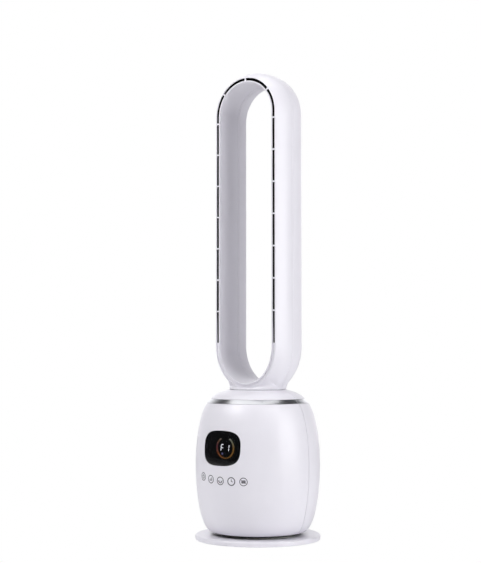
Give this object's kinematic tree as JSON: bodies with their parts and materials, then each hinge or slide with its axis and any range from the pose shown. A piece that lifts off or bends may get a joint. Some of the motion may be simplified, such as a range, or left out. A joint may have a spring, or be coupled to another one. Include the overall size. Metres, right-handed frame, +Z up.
{
  "type": "bladeless loop tower fan",
  "caption": "Floor-standing bladeless fan: round foot, oscillating barrel with hidden blower, chrome ring, dark display window and a tall hollow air loop with a front slit.",
  "frame": {"origin": "centre of the round foot on the floor, on the swing axis", "axes": "+Z up along the swing axis, the display and the air slit face -Y, +X to the viewer's right when facing the front"},
  "size_m": [0.24, 0.24, 0.9024],
  "materials": {
    "white_abs": "glossy moulded ABS",
    "black_abs": "satin moulded ABS",
    "grey_nylon": "glass-filled nylon",
    "chromed_abs": "bright plated",
    "smoked_acrylic": "polished, dark smoked",
    "light_guide": "frosted, lit from behind",
    "rubber": "matt moulded",
    "zinc_steel": "zinc plated",
    "cast_alloy": "as cast",
    "spring_brass": "bright",
    "copper_winding": "enamelled copper wire on laminations",
    "acetal": "satin",
    "circuit_board": "solder mask",
    "dust_mesh": "woven nylon mesh"
  },
  "bodies": {
    "base": {"base_cover": "white_abs", "base_pan": "black_abs", "ballast_plate": "zinc_steel", "foot_1": "rubber", "foot_2": "rubber", "foot_3": "rubber", "foot_4": "rubber", "foot_5": "rubber", "cord_gland": "rubber", "spindle": "zinc_steel", "sun_gear": "acetal", "spindle_nut": "zinc_steel", "glide_ring": "acetal"},
    "housing": {"turntable": "black_abs", "pivot_bush": "acetal", "chassis": "black_abs", "isolator_ring": "rubber", "motor_bracket": "zinc_steel", "swing_motor": "zinc_steel", "front_shell": "white_abs", "rear_shell": "white_abs", "trim_ring_front": "chromed_abs", "trim_ring_rear": "chromed_abs", "dust_screen": "dust_mesh", "display_lens": "smoked_acrylic", "display_frame": "black_abs", "display_board": "circuit_board", "light_ring": "light_guide", "digit_block": "light_guide", "touch_board": "circuit_board", "touch_spring_1": "spring_brass", "touch_spring_2": "spring_brass", "touch_spring_3": "spring_brass", "touch_spring_4": "spring_brass", "touch_spring_5": "spring_brass", "main_board": "circuit_board", "power_module": "black_abs", "blower_inlet": "black_abs", "blower_outlet": "black_abs", "diffuser": "black_abs", "motor_mount": "cast_alloy", "stator": "copper_winding", "bearing_lower": "zinc_steel", "bearing_upper": "zinc_steel", "driver_board": "circuit_board", "neck_ring": "black_abs", "neck_collar": "black_abs", "neck_gasket": "rubber", "loop_front_neck": "white_abs", "loop_front_side_right": "white_abs", "loop_front_arch": "white_abs", "loop_front_side_left": "white_abs", "loop_rear_neck": "white_abs", "loop_rear_side_right": "white_abs", "loop_rear_arch": "white_abs", "loop_rear_side_left": "white_abs"},
    "drive_pinion": {"pinion": "acetal"},
    "rotor": {"impeller": "grey_nylon", "motor_shaft": "zinc_steel", "rotor_cup": "zinc_steel"}
  },
  "joints": [
    {"name": "swing", "type": "hinge", "parent": "base", "child": "housing", "pos_m": [0, 0, 0.013], "axis": [0, 0, 1], "range_deg": [-40, 40]},
    {"name": "pinion_spin", "type": "hinge", "parent": "housing", "child": "drive_pinion", "pos_m": [0.0375, 0, 0.027], "axis": [0, 0, 1], "range_deg": [-165, 165]},
    {"name": "impeller_spin", "type": "hinge", "parent": "housing", "child": "rotor", "pos_m": [0, 0, 0.15], "axis": [0, 0, 1], "continuous": true}
  ],
  "couplings": [
    {"joint": "pinion_spin", "follows": "swing", "ratio": 4}
  ]
}
